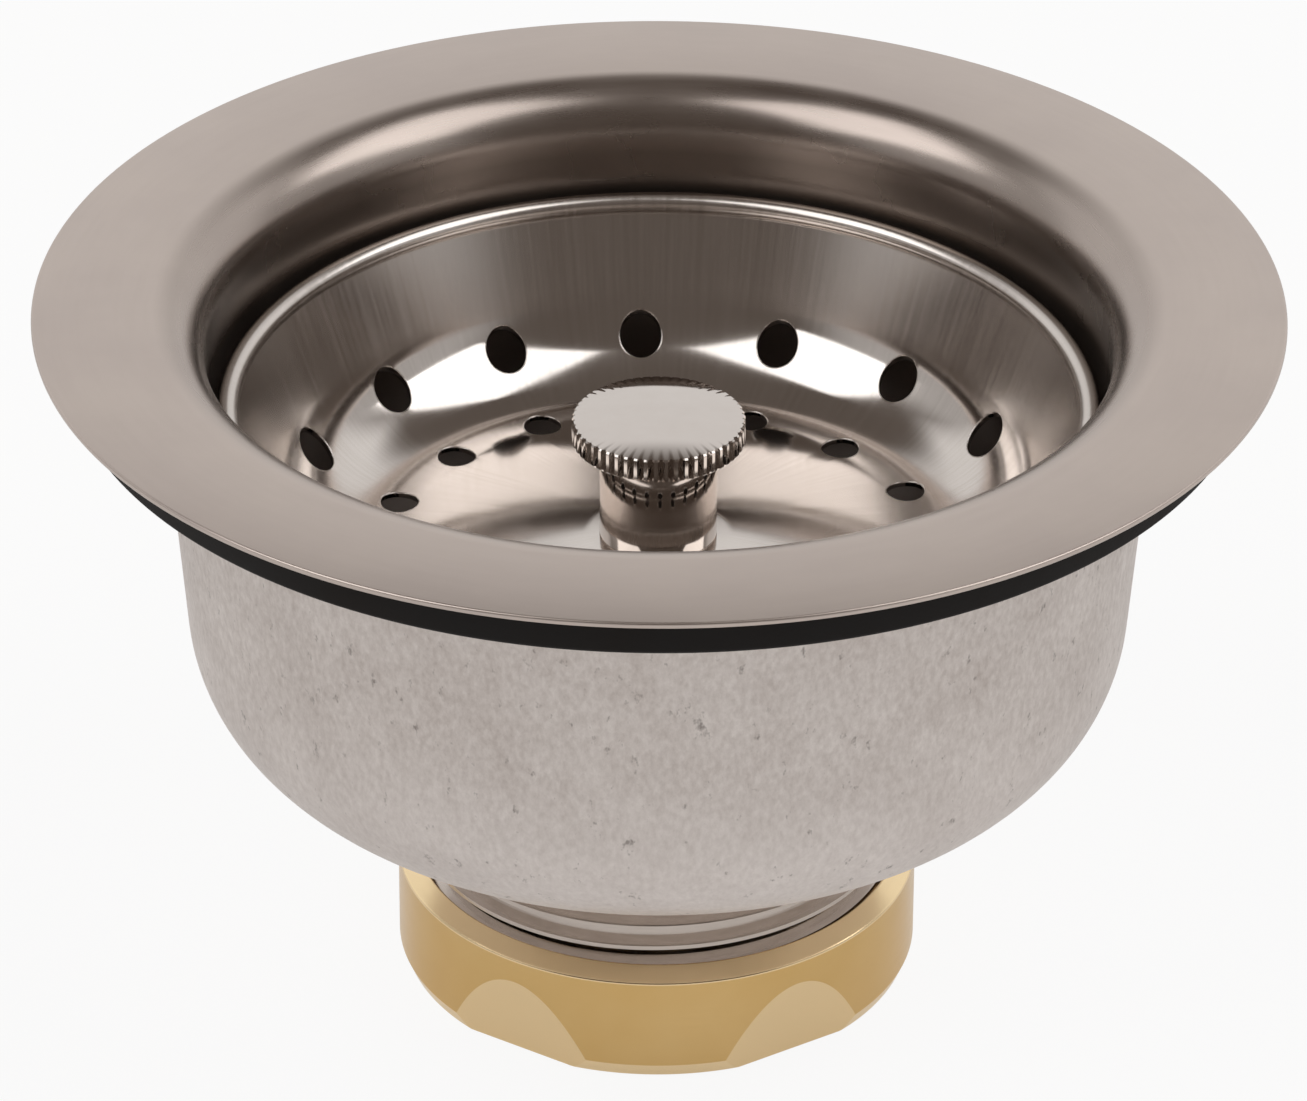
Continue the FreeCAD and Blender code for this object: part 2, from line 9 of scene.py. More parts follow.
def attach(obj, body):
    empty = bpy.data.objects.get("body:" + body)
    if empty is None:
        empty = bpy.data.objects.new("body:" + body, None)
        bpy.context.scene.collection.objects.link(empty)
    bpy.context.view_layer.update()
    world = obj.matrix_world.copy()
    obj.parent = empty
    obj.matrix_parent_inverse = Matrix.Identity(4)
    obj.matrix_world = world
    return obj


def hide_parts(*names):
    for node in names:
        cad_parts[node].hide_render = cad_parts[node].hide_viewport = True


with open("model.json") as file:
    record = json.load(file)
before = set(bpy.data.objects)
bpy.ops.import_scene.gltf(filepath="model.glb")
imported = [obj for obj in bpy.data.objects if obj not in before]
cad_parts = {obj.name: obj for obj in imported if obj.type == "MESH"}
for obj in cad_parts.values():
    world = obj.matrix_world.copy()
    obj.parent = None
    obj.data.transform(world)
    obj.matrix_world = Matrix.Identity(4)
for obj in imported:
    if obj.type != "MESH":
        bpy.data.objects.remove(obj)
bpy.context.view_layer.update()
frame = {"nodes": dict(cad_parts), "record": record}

MM = 0.001
TURN = 2 * math.pi
WELD = 0.0005 * MM
ROUND_STEPS = 256
SMOOTH_UNDER = math.radians(25)
# Degrees that one step of a 1 mm bend sweeps, and fewer on a wider bend
BEND_STEP = 12

record = frame["record"]
BODY_OF = {node: body for body, nodes in record["behaviour"]["bodies"].items() for node in nodes}
SLOT_OF = {part["node"]: part["material_slot"] for part in record["subparts"]}


# Turning and pressing: outlines are corners of (radius, height, bend), in millimetres

def trace(corners, closed=True):
    """A wire through the corners, in the plane of X and Z, with each bend swept to its radius."""
    shape = bmesh.new()
    spots = [Vector(corner[:2]) for corner in corners]
    first = pen = None
    for index, (_, _, bend) in enumerate(corners):
        start = spots[index]
        if bend:
            run = (start - spots[index - 1]).normalized()
            next_run = (spots[(index + 1) % len(spots)] - start).normalized()
            sweep = run.angle_signed(next_run)
            start = start - run * bend * math.tan(abs(sweep) / 2)
        vert = shape.verts.new((start.x * MM, 0, start.y * MM))
        if pen:
            shape.edges.new((pen, vert))
        first = first or vert
        pen = vert
        if bend:
            hub = start + Vector((run.y, -run.x)) * math.copysign(bend, sweep)
            arc = bmesh.ops.spin(
                shape, geom=[vert], cent=(hub.x * MM, 0, hub.y * MM), axis=(0, 1, 0), dvec=(0, 0, 0),
                angle=sweep, steps=math.ceil(math.degrees(abs(sweep)) * math.sqrt(bend) / BEND_STEP))
            pen = next(item for item in arc["geom_last"] if isinstance(item, bmesh.types.BMVert))
    if closed:
        shape.edges.new((pen, first))
    return shape


def pressed(path, wall):
    """Corners of a pressed sheet that follows a path, with its wall on the left of the path."""
    spots = [Vector(corner[:2]) for corner in path]
    runs = [(end - start).normalized() for start, end in zip(spots, spots[1:])]
    sides = [Vector((-run.y, run.x)) for run in runs]
    back = [(*(spots[0] + sides[0] * wall), None)]
    for index, (_, _, bend) in enumerate(path[1:-1], start=1):
        side, next_side = sides[index - 1], sides[index]
        corner = spots[index] + (side + next_side) * wall / (1 + side.dot(next_side))
        back.append((*corner, bend - wall if side.dot(runs[index]) > 0 else bend + wall))
    back.append((*(spots[-1] + sides[-1] * wall), None))
    return list(path) + back[::-1]


def washer(inner, outer, low, top, edge):
    """Corners of a flat ring with its four edges eased."""
    return [(inner, low, edge), (outer, low, edge), (outer, top, edge), (inner, top, edge)]


def turned(shape, steps=ROUND_STEPS):
    """Spin an outline once round the axis into a closed skin."""
    bmesh.ops.spin(
        shape, geom=shape.verts[:] + shape.edges[:], cent=(0, 0, 0), axis=(0, 0, 1), dvec=(0, 0, 0),
        angle=TURN, steps=steps, use_merge=True)
    bmesh.ops.remove_doubles(shape, verts=shape.verts[:], dist=WELD)
    bmesh.ops.recalc_face_normals(shape, faces=shape.faces[:])
    return shape


def new_object(shape, name):
    """Turn a bmesh into an object in the scene."""
    mesh = bpy.data.meshes.new(name)
    shape.to_mesh(mesh)
    shape.free()
    piece = bpy.data.objects.new(name, mesh)
    bpy.context.collection.objects.link(piece)
    return piece


def set_in_place(piece, node, smooth_under=SMOOTH_UNDER):
    """Give a piece its finish, let it stand for its node and move with the node's body."""
    piece.data.shade_smooth()
    piece.data.set_sharp_from_angle(angle=smooth_under)
    piece.data.materials.clear()
    piece.data.materials.append(FINISHES[SLOT_OF[node]])
    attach(piece, BODY_OF[node])
    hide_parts(node)


def punch(piece, cutter):
    """Take the cutter's volume out of a piece, for good."""
    tool = piece.modifiers.new("punch", "BOOLEAN")
    tool.object = cutter
    tool.operation = "DIFFERENCE"
    tool.solver = "EXACT"
    whole = piece.data
    graph = bpy.context.evaluated_depsgraph_get()
    piece.data = bpy.data.meshes.new_from_object(piece.evaluated_get(graph))
    piece.data.name = piece.name
    piece.modifiers.clear()
    bpy.data.meshes.remove(whole)
    bpy.data.objects.remove(cutter)


# Finishes

# Inputs of a Mix node, for numbers and for colours
NUMBER_A, NUMBER_B, COLOUR_A, COLOUR_B = 2, 3, 6, 7
# Most of a noise lies in this span
NOISE_SPAN = {"From Min": 0.3, "From Max": 0.7}
ACROSS_AXIS = (1, 1, 0)


def linear(hex_colour):
    """An sRGB hex colour as linear RGBA."""
    channels = [int(hex_colour[place:place + 2], 16) / 255 for place in (1, 3, 5)]
    return [c / 12.92 if c <= 0.04045 else ((c + 0.055) / 1.055) ** 2.4 for c in channels] + [1.0]


def feed(tree, node, inputs):
    """Set a node's inputs to values, or link them to sockets or to other nodes' first outputs."""
    for socket, value in inputs.items():
        if isinstance(value, bpy.types.Node):
            value = next(output for output in value.outputs if output.enabled)
        if isinstance(value, bpy.types.NodeSocket):
            tree.links.new(value, node.inputs[socket])
        else:
            node.inputs[socket].default_value = value
    return node


def add(tree, kind, inputs, **settings):
    """Add a node with its settings and links."""
    node = tree.nodes.new("ShaderNode" + kind)
    for name, value in settings.items():
        setattr(node, name, value)
    return feed(tree, node, inputs)


def start_finish(name, **constants):
    """A new material, its node tree and its shader, with what is the same all over set on the shader."""
    material = bpy.data.materials.new(name)
    material.use_nodes = True
    shader = material.node_tree.nodes["Principled BSDF"]
    for socket, value in constants.items():
        shader.inputs[socket.replace("_", " ")].default_value = value
    return material, material.node_tree, shader


def axis_distance(tree, spot):
    """How far a spot lies from the axis."""
    flat = add(tree, "VectorMath", {0: spot, 1: ACROSS_AXIS}, operation="MULTIPLY")
    return add(tree, "VectorMath", {0: flat}, operation="LENGTH")


def streaks(tree, spot, along, per_radian, size):
    """Noise on a turned surface, given its marks per radian round the axis and their size along."""
    flat = add(tree, "VectorMath", {0: spot, 1: ACROSS_AXIS}, operation="MULTIPLY")
    outwards = add(tree, "VectorMath", {0: flat}, operation="NORMALIZE")
    swept = add(tree, "VectorMath", {0: outwards, "Scale": per_radian}, operation="SCALE")
    run = add(tree, "Math", {0: along, 1: 1 / size}, operation="MULTIPLY")
    lift = add(tree, "CombineXYZ", {"Z": run})
    place = add(tree, "VectorMath", {0: swept, 1: lift}, operation="ADD")
    return add(tree, "TexNoise", {"Vector": place, "Scale": 1.0, "Detail": 4.0})


def satin_stainless():
    # Drawn stainless sheet: a flange rubbed to an even satin, and a smoother rolled lip and bowl
    material, tree, shader = start_finish(
        "satin stainless steel", Metallic=1.0, Anisotropic=0.25, Anisotropic_Rotation=0.25)
    spot = add(tree, "TexCoord", {}).outputs["Object"]
    radius = axis_distance(tree, spot)
    height = add(tree, "SeparateXYZ", {0: spot}).outputs["Z"]
    # Rubbing marks are drawn at 0.4 mm, coarser than they are, so that they show
    lines = streaks(tree, spot, radius, 6.0, 0.4 * MM)
    cloud = add(tree, "TexNoise", {"Vector": spot, "Scale": 1 / (12 * MM), "Detail": 4.0})
    lip_to_flange = {"From Min": 43.5 * MM, "From Max": 46.8 * MM}
    base = add(tree, "MapRange", {
        "Value": radius, **lip_to_flange, "To Min": 0.27, "To Max": 0.34}, interpolation_type="SMOOTHSTEP")
    wear = add(tree, "MapRange", {"Value": cloud, **NOISE_SPAN, "To Min": -0.025, "To Max": 0.025})
    rubbed = add(tree, "MapRange", {"Value": lines, **NOISE_SPAN, "To Min": -0.02, "To Max": 0.02})
    uneven = add(tree, "Math", {0: wear, 1: rubbed}, operation="ADD")
    polish = add(tree, "Math", {0: base, 1: uneven}, operation="ADD")
    # Below the basket's rim the drawn bowl was never polished
    below_rim = {"From Min": 55 * MM, "From Max": 60 * MM}
    dull = add(tree, "MapRange", {"Value": height, **below_rim, "To Min": 0.3, "To Max": 0.0})
    rough = add(tree, "Math", {0: polish, 1: dull}, operation="ADD")
    shade = add(tree, "MapRange", {"Value": cloud, **NOISE_SPAN})
    sheet = add(tree, "Mix", {
        "Factor": shade, COLOUR_A: linear("#BEB2AB"), COLOUR_B: linear("#C8BCB4")}, data_type="RGBA")
    # Painted shade: the wall between the lip and the basket, where little light reaches, is painted darker
    up_to_lip = {"From Min": 62.5 * MM, "From Max": 68.4 * MM}
    up_to_rim = {"From Min": 52 * MM, "From Max": 58 * MM}
    under_lip = add(tree, "MapRange", {"Value": height, **up_to_lip, "To Min": 1.0, "To Max": 0.0})
    over_rim = add(tree, "MapRange", {"Value": height, **up_to_rim})
    on_wall = add(tree, "Math", {0: under_lip, 1: over_rim}, operation="MULTIPLY")
    # The painted shade thins out over the rolled lip, dimming its highlights, and ends where the flat flange
    # starts
    lip_top = {"From Min": 44.2 * MM, "From Max": 46.4 * MM}
    on_lip = add(tree, "MapRange", {
        "Value": radius, **lip_top, "To Min": 0.42, "To Max": 0.0}, interpolation_type="SMOOTHSTEP")
    lip_painted_shade = add(tree, "Math", {0: on_lip, 1: over_rim}, operation="MULTIPLY")
    painted_shade = add(tree, "Math", {0: on_wall, 1: lip_painted_shade}, operation="MAXIMUM")
    colour = add(tree, "Mix", {
        "Factor": painted_shade, COLOUR_A: sheet, COLOUR_B: linear("#80766F")}, data_type="RGBA")
    grain_way = add(tree, "Tangent", {}, direction_type="RADIAL", axis="Z")
    feed(tree, shader, {"Base Color": colour, "Roughness": rough, "Tangent": grain_way})
    return material


def polished_stainless():
    # Deep drawn stainless sheet: draw lines down a satin upper wall, a buffed bright dish, eased hole edges
    material, tree, shader = start_finish("polished stainless steel", Metallic=1.0, Anisotropic=0.6)
    spot = add(tree, "TexCoord", {}).outputs["Object"]
    height = add(tree, "SeparateXYZ", {0: spot}).outputs["Z"]
    # Draw lines are drawn 0.5 mm apart on a wall of 37.5 mm radius, coarser than they are, so that they show
    lines = streaks(tree, spot, height, 37.5 / 0.5, 14 * MM)
    cloud = add(tree, "TexNoise", {"Vector": spot, "Scale": 1 / (7 * MM), "Detail": 3.0})
    dish_to_wall = {"From Min": 47.5 * MM, "From Max": 51.0 * MM}
    satin = add(tree, "MapRange", {"Value": height, **dish_to_wall}, interpolation_type="SMOOTHSTEP")
    drawn = add(tree, "MapRange", {"Value": lines, **NOISE_SPAN, "To Min": 0.20, "To Max": 0.25})
    buffed = add(tree, "MapRange", {"Value": cloud, **NOISE_SPAN, "To Min": 0.08, "To Max": 0.13})
    rough = add(tree, "Mix", {"Factor": satin, NUMBER_A: buffed, NUMBER_B: drawn}, data_type="FLOAT")
    shade = add(tree, "MapRange", {"Value": lines, **NOISE_SPAN})
    colour = add(tree, "Mix", {
        "Factor": shade, COLOUR_A: linear("#D0C9C3"), COLOUR_B: linear("#D7D0CB")}, data_type="RGBA")
    eased = add(tree, "Bevel", {"Radius": 0.22 * MM}, samples=6)
    grain_way = add(tree, "Tangent", {}, direction_type="RADIAL", axis="Z")
    feed(tree, shader, {"Base Color": colour, "Roughness": rough, "Normal": eased, "Tangent": grain_way})
    return material


def chrome():
    # Chrome plate on turned brass: a clear mirror with a trace of haze
    material, tree, shader = start_finish("chrome plate", Metallic=1.0)
    spot = add(tree, "TexCoord", {}).outputs["Object"]
    haze = add(tree, "TexNoise", {"Vector": spot, "Scale": 1 / (3 * MM), "Detail": 4.0})
    rough = add(tree, "MapRange", {
        "Value": haze, "From Min": 0.3, "From Max": 0.75, "To Min": 0.03, "To Max": 0.07})
    colour = add(tree, "Mix", {
        "Factor": haze, COLOUR_A: linear("#CAC2BC"), COLOUR_B: linear("#D2CBC6")}, data_type="RGBA")
    feed(tree, shader, {"Base Color": colour, "Roughness": rough})
    return material


def bright_plated_brass():
    # Nickel plate on a cut thread: bright flanks with tool marks along the turns
    material, tree, shader = start_finish("bright nickel plate", Metallic=1.0)
    spot = add(tree, "TexCoord", {}).outputs["Object"]
    height = add(tree, "SeparateXYZ", {0: spot}).outputs["Z"]
    # Tool marks are drawn at 0.3 mm, coarser than they are, so that they show
    lines = streaks(tree, spot, height, 6.0, 0.3 * MM)
    rough = add(tree, "MapRange", {"Value": lines, **NOISE_SPAN, "To Min": 0.10, "To Max": 0.24})
    colour = add(tree, "Mix", {
        "Factor": lines, COLOUR_A: linear("#B4AAA2"), COLOUR_B: linear("#D6CCC4")}, data_type="RGBA")
    feed(tree, shader, {"Base Color": colour, "Roughness": rough})
    return material


def spring_steel():
    # Cold drawn steel: bright, with a light haze of turning marks
    material, tree, shader = start_finish("bright drawn steel", Metallic=1.0)
    spot = add(tree, "TexCoord", {}).outputs["Object"]
    # Turning marks are drawn at 0.4 mm, coarser than they are, so that they show
    lines = streaks(tree, spot, axis_distance(tree, spot), 4.0, 0.4 * MM)
    rough = add(tree, "MapRange", {"Value": lines, **NOISE_SPAN, "To Min": 0.2, "To Max": 0.32})
    colour = add(tree, "Mix", {
        "Factor": lines, COLOUR_A: linear("#A8A29D"), COLOUR_B: linear("#BDB7B2")}, data_type="RGBA")
    feed(tree, shader, {"Base Color": colour, "Roughness": rough})
    return material


def black_rubber():
    # Moulded nitrile rubber: dull black with a faint bloom and fine mould grain
    material, tree, shader = start_finish("black nitrile rubber", Specular_IOR_Level=0.2)
    spot = add(tree, "TexCoord", {}).outputs["Object"]
    bloom = add(tree, "TexNoise", {"Vector": spot, "Scale": 1 / (9 * MM), "Detail": 4.0})
    # The grain is drawn at 0.4 mm, coarser than it is, so that it shows
    pores = add(tree, "TexNoise", {"Vector": spot, "Scale": 1 / (0.4 * MM), "Detail": 2.0})
    shade = add(tree, "MapRange", {"Value": bloom, "From Min": 0.35, "From Max": 0.75})
    colour = add(tree, "Mix", {
        "Factor": shade, COLOUR_A: linear("#151211"), COLOUR_B: linear("#1F1B19")}, data_type="RGBA")
    rough = add(tree, "MapRange", {"Value": bloom, **NOISE_SPAN, "To Min": 0.58, "To Max": 0.72})
    grain = add(tree, "Bump", {"Height": pores, "Strength": 0.25, "Distance": 0.05 * MM})
    feed(tree, shader, {"Base Color": colour, "Roughness": rough, "Normal": grain})
    return material


def grey_fibre():
    # Pressed fibre board: dull grey with short flecks
    material, tree, shader = start_finish("pressed fibre board", Roughness=0.85)
    spot = add(tree, "TexCoord", {}).outputs["Object"]
    fleck = add(tree, "TexNoise", {"Vector": spot, "Scale": 1 / (0.8 * MM), "Detail": 4.0})
    shade = add(tree, "MapRange", {"Value": fleck, "From Min": 0.35, "From Max": 0.65})
    colour = add(tree, "Mix", {
        "Factor": shade, COLOUR_A: linear("#554E49"), COLOUR_B: linear("#7A716A")}, data_type="RGBA")
    grain = add(tree, "Bump", {"Height": fleck, "Strength": 0.4, "Distance": 0.08 * MM})
    feed(tree, shader, {"Base Color": colour, "Normal": grain})
    return material


def galvanised_steel():
    # Hot dipped zinc on steel: dull, fine-grained and cloudy, with small dark pits
    material, tree, shader = start_finish("zinc coated steel", Metallic=1.0)
    spot = add(tree, "TexCoord", {}).outputs["Object"]
    height = add(tree, "SeparateXYZ", {0: spot}).outputs["Z"]
    # Grit and pits are drawn out upright
    upright = add(tree, "VectorMath", {0: spot, 1: (1, 1, 0.6)}, operation="MULTIPLY")
    cloud = add(tree, "TexNoise", {
        "Vector": spot, "Scale": 1 / (9 * MM), "Detail": 5.0, "Roughness": 0.6})
    grit = add(tree, "TexNoise", {
        "Vector": upright, "Scale": 1 / (0.6 * MM), "Detail": 5.0, "Roughness": 0.65})
    pocks = add(tree, "TexNoise", {
        "Vector": upright, "Scale": 1 / (1.3 * MM), "Detail": 3.0, "Roughness": 0.7})
    clouded = add(tree, "MapRange", {"Value": cloud, **NOISE_SPAN, "To Min": 0.3, "To Max": 0.7})
    gritty = add(tree, "MapRange", {"Value": grit, **NOISE_SPAN, "To Min": -0.24, "To Max": 0.24})
    shade = add(tree, "Math", {0: clouded, 1: gritty}, operation="ADD", use_clamp=True)
    zinc = add(tree, "Mix", {
        "Factor": shade, COLOUR_A: linear("#BBB1AB"), COLOUR_B: linear("#EAE4E0")}, data_type="RGBA")
    # Painted light: the cup is painted paler towards its round foot, standing in for the floor's light on it
    foot_to_wall = {"From Min": 26 * MM, "From Max": 46 * MM}
    painted_foot_light = add(tree, "MapRange", {"Value": height, **foot_to_wall, "To Min": 0.45, "To Max": 0.0})
    # drawn holds the zinc colour with the painted light towards the foot
    drawn = add(tree, "Mix", {
        "Factor": painted_foot_light, COLOUR_A: zinc, COLOUR_B: linear("#F0EAE7")}, data_type="RGBA")
    pits = add(tree, "MapRange", {
        "Value": pocks, "From Min": 0.64, "From Max": 0.74, "To Min": 0.0, "To Max": 0.6})
    colour = add(tree, "Mix", {
        "Factor": pits, COLOUR_A: drawn, COLOUR_B: linear("#6E6560")}, data_type="RGBA")
    rough = add(tree, "MapRange", {"Value": cloud, **NOISE_SPAN, "To Min": 0.5, "To Max": 0.6})
    relief = add(tree, "Math", {0: grit, 1: pits}, operation="SUBTRACT")
    grain = add(tree, "Bump", {"Height": relief, "Strength": 0.18, "Distance": 0.05 * MM})
    feed(tree, shader, {"Base Color": colour, "Roughness": rough, "Normal": grain})
    return material


def brass():
    # Turned brass, left bare: warm satin with fine lathe lines, and a painted highlight that makes the
    # milled flats and the chamfers paler
    material, tree, shader = start_finish(
        "turned brass", Metallic=1.0, Anisotropic=0.3, Anisotropic_Rotation=0.25)
    spot = add(tree, "TexCoord", {}).outputs["Object"]
    height = add(tree, "SeparateXYZ", {0: spot}).outputs["Z"]
    # Lathe lines are drawn at 0.3 mm, coarser than they are, so that they show
    along = add(tree, "Math", {0: height, 1: axis_distance(tree, spot)}, operation="ADD")
    lines = streaks(tree, spot, along, 4.0, 0.3 * MM)
    cloud = add(tree, "TexNoise", {"Vector": spot, "Scale": 1 / (8 * MM), "Detail": 4.0})
    body = add(tree, "Mix", {
        "Factor": cloud, COLOUR_A: linear("#D3AD6C"), COLOUR_B: linear("#E1C087")}, data_type="RGBA")
    # Painted highlight: faces that lean up or down, the milled flats and the chamfers, are painted paler
    facing = add(tree, "SeparateXYZ", {0: add(tree, "NewGeometry", {}).outputs["True Normal"]}).outputs["Z"]
    lean = add(tree, "Math", {0: facing}, operation="ABSOLUTE")
    painted_highlight = add(tree, "MapRange", {"Value": lean, "From Min": 0.12, "From Max": 0.17})
    colour = add(tree, "Mix", {
        "Factor": painted_highlight, COLOUR_A: body, COLOUR_B: linear("#F4DBAF")}, data_type="RGBA")
    cut = add(tree, "MapRange", {"Value": lines, **NOISE_SPAN, "To Min": 0.17, "To Max": 0.24})
    wear = add(tree, "MapRange", {"Value": cloud, **NOISE_SPAN, "To Min": -0.03, "To Max": 0.03})
    rough = add(tree, "Math", {0: cut, 1: wear}, operation="ADD")
    grain_way = add(tree, "Tangent", {}, direction_type="RADIAL", axis="Z")
    feed(tree, shader, {"Base Color": colour, "Roughness": rough, "Tangent": grain_way})
    return material


def white_nylon():
    # Moulded nylon: milky, with a soft gloss
    material, tree, shader = start_finish("moulded nylon", Specular_IOR_Level=0.4)
    spot = add(tree, "TexCoord", {}).outputs["Object"]
    cloud = add(tree, "TexNoise", {"Vector": spot, "Scale": 1 / (4 * MM), "Detail": 3.0})
    colour = add(tree, "Mix", {
        "Factor": cloud, COLOUR_A: linear("#DAD6CC"), COLOUR_B: linear("#E6E2D9")}, data_type="RGBA")
    rough = add(tree, "MapRange", {"Value": cloud, **NOISE_SPAN, "To Min": 0.42, "To Max": 0.52})
    feed(tree, shader, {"Base Color": colour, "Roughness": rough})
    return material


FINISHES = {finish.__name__: finish() for finish in (
    satin_stainless, polished_stainless, chrome, bright_plated_brass, spring_steel,
    black_rubber, grey_fibre, galvanised_steel, brass, white_nylon)}

for name, node in frame["nodes"].items():
    for holder in node.material_slots:
        holder.material = FINISHES[SLOT_OF[name]]

# Pressed bowl and outer cup
BODY_WALL, CUP_WALL, BASKET_WALL = 0.6, 0.8, 0.5
FLANGE_R, FLANGE_TOP, FLANGE_EDGE = 57.13, 68.9, 0.22
FLANGE_LOW = FLANGE_TOP - BODY_WALL
BOWL_R, BOWL_FLOOR, OUTLET_R, NECK_END = 41.45, 28.0, 19.5, 22.0
LIP_BEND, BOWL_BEND, OUTLET_BEND = 5.0, 9.0, 2.0
bowl_path = [
    (FLANGE_R, FLANGE_TOP, FLANGE_EDGE), (BOWL_R, FLANGE_TOP, LIP_BEND), (BOWL_R, BOWL_FLOOR, BOWL_BEND),
    (OUTLET_R, BOWL_FLOOR, OUTLET_BEND), (OUTLET_R, NECK_END, None)]
bowl_corners = pressed(bowl_path, BODY_WALL)
bowl_corners[-1] = (FLANGE_R, FLANGE_LOW, FLANGE_EDGE)
CUP_LIP, CUP_LOW, CUP_FOOT_R, CUP_HOLE_R = 62.3, 23.9, 42.63, 22.85
CUP_DRAFT, CUP_BEND, CUP_LIP_BEND, CUP_LIP_WIDTH = math.radians(4.5), 14.7, 1.0, 3.35
CUP_RIM_R = CUP_FOOT_R + (CUP_LIP - CUP_LOW) * math.tan(CUP_DRAFT)
cup_path = [
    (CUP_HOLE_R, CUP_LOW, None), (CUP_FOOT_R, CUP_LOW, CUP_BEND), (CUP_RIM_R, CUP_LIP, CUP_LIP_BEND),
    (CUP_RIM_R + CUP_LIP_WIDTH, CUP_LIP, None)]

# What is turned or pressed round, from the flange down
GASKET_INNER_R, GASKET_R, GASKET_LOW = 46.8, 54.1, 63.9
GASKET_INNER_EDGE, GASKET_EDGE = 0.3, 0.5
FIBRE_INNER_R, FIBRE_R = 45.6, 51.0
NUT_HOLE_R, NUT_LIP = 19.6, 1.6
SEAL_R, SEAL_TOP = 22.24, 3.6
KNOB_LOW, CROWN_TOP, POST_R = 54.3, 44.7, 5.45
STEM_R, STEM_BORE_R, STEM_LOW, STEM_TOP = 2.0, 2.05, 22.3, 56.3
STEM_TIP_CUT, STEM_EDGE = 0.6, 0.2
SPACER_R, BACKING_R, BACKING_TOP = 4.5, 18.0, 33.0
STOPPER_R, STOPPER_TOP, STOPPER_EDGE = 24.0, 32.0, 0.8
LOWER_WASHER_R, LOWER_WASHER_LOW = 9.0, 27.2
turned_pieces = {
    "flanged_bowl": ("strainer_body", bowl_corners),
    "rubber_gasket": ("sink_gasket", [
        (GASKET_INNER_R, GASKET_LOW, GASKET_INNER_EDGE), (GASKET_R, GASKET_LOW, GASKET_EDGE),
        (GASKET_R, FLANGE_LOW, GASKET_EDGE), (GASKET_INNER_R, FLANGE_LOW, GASKET_INNER_EDGE)]),
    "fibre_ring": ("friction_washer", washer(
        FIBRE_INNER_R, FIBRE_R, CUP_LIP + CUP_WALL, GASKET_LOW, edge=0.12)),
    "outer_cup": ("mounting_cup", pressed(cup_path, CUP_WALL)),
    "seal_ring": ("tailpiece_washer", washer(NUT_HOLE_R, SEAL_R, NUT_LIP, SEAL_TOP, edge=0.2)),
    "post_tube": ("basket_post", washer(STEM_BORE_R, POST_R, CROWN_TOP, KNOB_LOW, edge=0.1)),
    "stem_rod": ("stem", [
        (0, STEM_LOW, None), (STEM_R - STEM_TIP_CUT, STEM_LOW, STEM_EDGE),
        (STEM_R, STEM_LOW + STEM_TIP_CUT, STEM_EDGE), (STEM_R, STEM_TOP, None), (0, STEM_TOP, None)]),
    "spacer_tube": ("spacer_sleeve", washer(
        STEM_BORE_R, SPACER_R, BACKING_TOP, CROWN_TOP - BASKET_WALL, edge=0.2)),
    "backing_disc": ("backing_washer", washer(STEM_BORE_R, BACKING_R, STOPPER_TOP, BACKING_TOP, edge=0.2)),
    "stopper_disc": ("stopper", [
        (STEM_BORE_R, BOWL_FLOOR, None), (STOPPER_R, BOWL_FLOOR, STOPPER_EDGE),
        (STOPPER_R, STOPPER_TOP, STOPPER_EDGE), (STEM_BORE_R, STOPPER_TOP, None)]),
    "lower_washer": ("stopper_washer", washer(
        STEM_BORE_R, LOWER_WASHER_R, LOWER_WASHER_LOW, BOWL_FLOOR, edge=0.15)),
}
for name, (node, corners) in turned_pieces.items():
    set_in_place(new_object(turned(trace(corners)), name), node)

# Knob: a crowned disc with straight knurls cut into its edge
KNOB_R, KNOB_TOP, KNOB_FOOT_CUT, KNOB_RIM_CUT = 8.0, 57.22, 0.25, 0.15
KNOB_CROWN_RISE, KNOB_CROWN_BEND = 0.6, 45.7
KNOB_SHOULDER = KNOB_TOP - KNOB_CROWN_RISE
KNURLS, KNURL_STEPS = 53, 6
# Depth of the cut at each step of one knurl
KNURL_CUTS = (0.32, 0.16, 0, 0, 0, 0.16)
knob = turned(trace([
    (STEM_BORE_R, KNOB_LOW, None), (KNOB_R - KNOB_FOOT_CUT, KNOB_LOW, None),
    (KNOB_R, KNOB_LOW + KNOB_FOOT_CUT, None), (KNOB_R, KNOB_SHOULDER - KNOB_RIM_CUT, None),
    (KNOB_R - KNOB_RIM_CUT, KNOB_SHOULDER, None), (KNOB_R / 2, KNOB_TOP, KNOB_CROWN_BEND),
    (0, KNOB_TOP, None), (0, STEM_TOP, None), (STEM_BORE_R, STEM_TOP, None)]), KNURLS * KNURL_STEPS)
for vert in knob.verts:
    step = round(math.atan2(vert.co.y, vert.co.x) / TURN * KNURLS * KNURL_STEPS)
    reach = (KNOB_R - KNURL_CUTS[step % KNURL_STEPS]) * MM
    if vert.co.xy.length > reach:
        vert.co.xy *= reach / vert.co.xy.length
set_in_place(new_object(knob, "knurled_knob"), "knob")

# Basket: a pressed dish with a rolled rim and two rings of punched holes
BEAD_R, BEAD_STEPS, BEAD_WELD = 1.0, 40, 0.01 * MM
RIM_R, RIM_LEVEL, TROUGH_R, TROUGH_LEVEL, CROWN_R = 39.5, 58.15, 32.63, 41.64, 6.6
TROUGH_BEND, CROWN_BEND, DISH_STEPS = 11.0, 6.0, 320
rim_hub = Vector((RIM_R, RIM_LEVEL))
trough = Vector((TROUGH_R, TROUGH_LEVEL))
wall_run = (trough - rim_hub).normalized()
rim_spot = rim_hub + wall_run * BEAD_R
basket_path = [
    (*rim_spot, None), (*trough, TROUGH_BEND), (CROWN_R, CROWN_TOP, CROWN_BEND),
    (STEM_BORE_R, CROWN_TOP, None)]
basket_corners = pressed(basket_path, BASKET_WALL)
